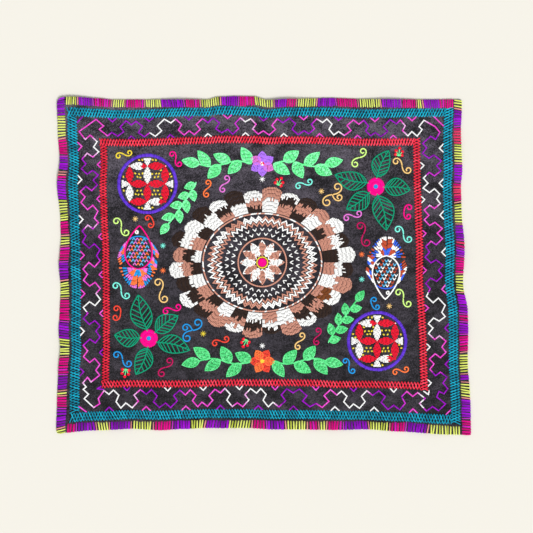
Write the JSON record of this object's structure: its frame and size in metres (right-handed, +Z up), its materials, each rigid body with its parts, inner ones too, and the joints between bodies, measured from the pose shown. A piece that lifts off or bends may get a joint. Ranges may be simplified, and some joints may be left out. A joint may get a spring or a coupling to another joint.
{
  "type": "shipibo embroidered cloth",
  "caption": "Rectangular black cotton cloth lying flat, hand embroidered with an overcast edging, stitched bands, a stepped-line border and a flower medallion.",
  "frame": {"origin": "centre of the bounding box at the underside, where the cloth rests", "axes": "+X along the long side, +Y along the short side towards the cloth's upper edge, +Z up, out of the embroidered face"},
  "size_m": [0.618, 0.5052, 0.0067],
  "materials": {
    "cloth": "matt black cotton, soft and slightly puckered",
    "edging_thread": "variegated cotton thread, soft sheen",
    "outer_band_thread": "teal cotton thread, soft sheen",
    "inner_band_thread": "red cotton thread, soft sheen",
    "line_thread": "white, pink and purple cotton thread, soft sheen",
    "field_thread": "many-coloured cotton thread, soft sheen"
  },
  "bodies": {
    "root": {"cloth": "cloth"}
  },
  "joints": []
}
